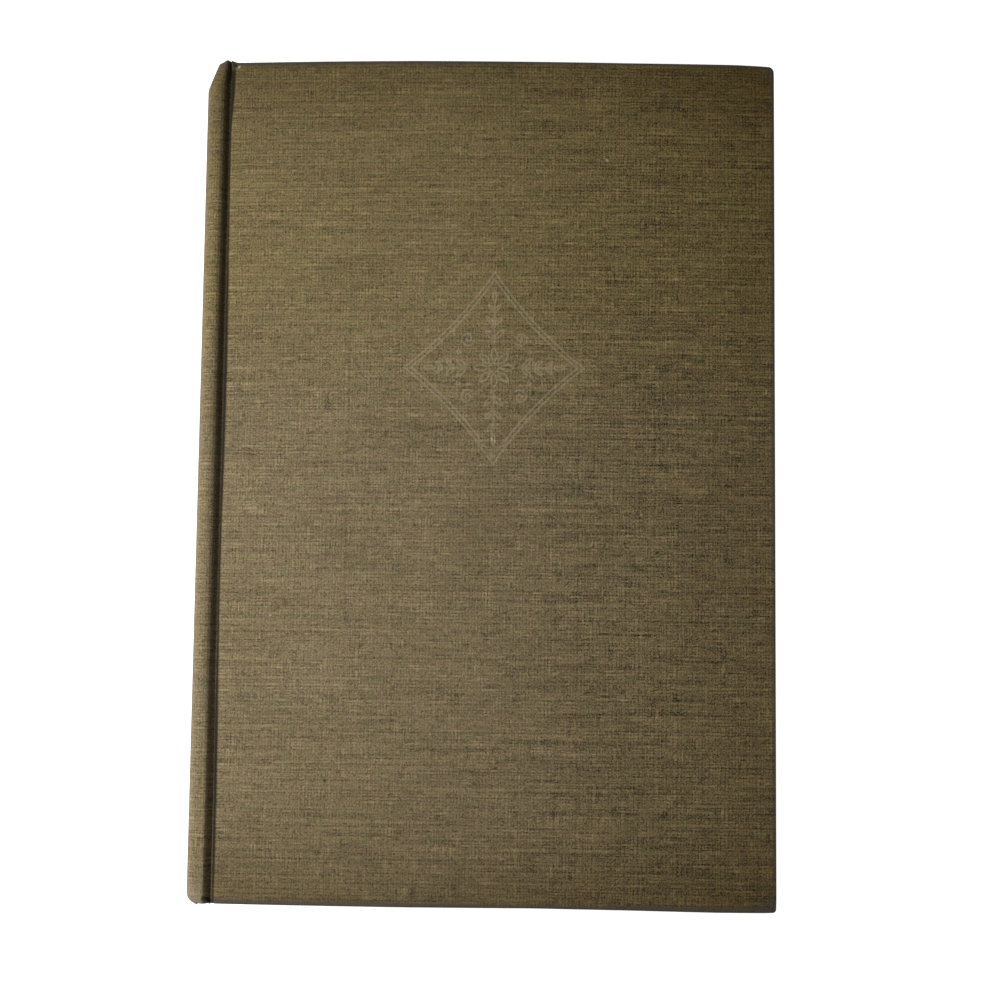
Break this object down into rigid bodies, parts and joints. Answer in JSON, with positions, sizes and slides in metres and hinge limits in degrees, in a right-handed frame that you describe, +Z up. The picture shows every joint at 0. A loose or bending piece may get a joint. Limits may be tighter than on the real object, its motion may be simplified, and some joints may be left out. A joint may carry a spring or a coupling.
{
  "type": "hardback book",
  "caption": "Cloth-bound hardback book lying flat: rounded and backed text block in a hollow-back case with grooved joints, both covers hinged",
  "frame": {"origin": "middle of the footprint, on the surface that the book lies on, book closed on its back cover", "axes": "+Z up through the front cover, +Y towards the head of the book, +X from the spine to the fore-edge"},
  "size_m": [0.1626, 0.235, 0.0316],
  "materials": {
    "cloth": "matte",
    "board": "matte",
    "pages": "matte",
    "endpaper": "matte",
    "band": "satin",
    "mull": "matte",
    "kraft": "matte"
  },
  "bodies": {
    "book_block": {"text_block": "pages", "front_flyleaf": "endpaper", "back_flyleaf": "endpaper", "head_band": "band", "tail_band": "band", "spine_mull": "mull", "spine_lining": "kraft", "spine_strip": "board", "spine_cloth": "cloth", "front_joint": "cloth", "back_joint": "cloth"},
    "front_cover": {"front_board": "board", "front_cloth": "cloth", "front_pastedown": "endpaper"},
    "back_cover": {"back_board": "board", "back_cloth": "cloth", "back_pastedown": "endpaper"}
  },
  "joints": [
    {"name": "front_hinge", "type": "hinge", "parent": "book_block", "child": "front_cover", "pos_m": [-0.07695, 0, 0.0274], "axis": [0, -1, 0], "range_deg": [0, 180], "deforming": ["front_joint"]},
    {"name": "back_hinge", "type": "hinge", "parent": "book_block", "child": "back_cover", "pos_m": [-0.07695, 0, 0.0018], "axis": [0, 1, 0], "range_deg": [0, 180], "deforming": ["back_joint"]}
  ]
}
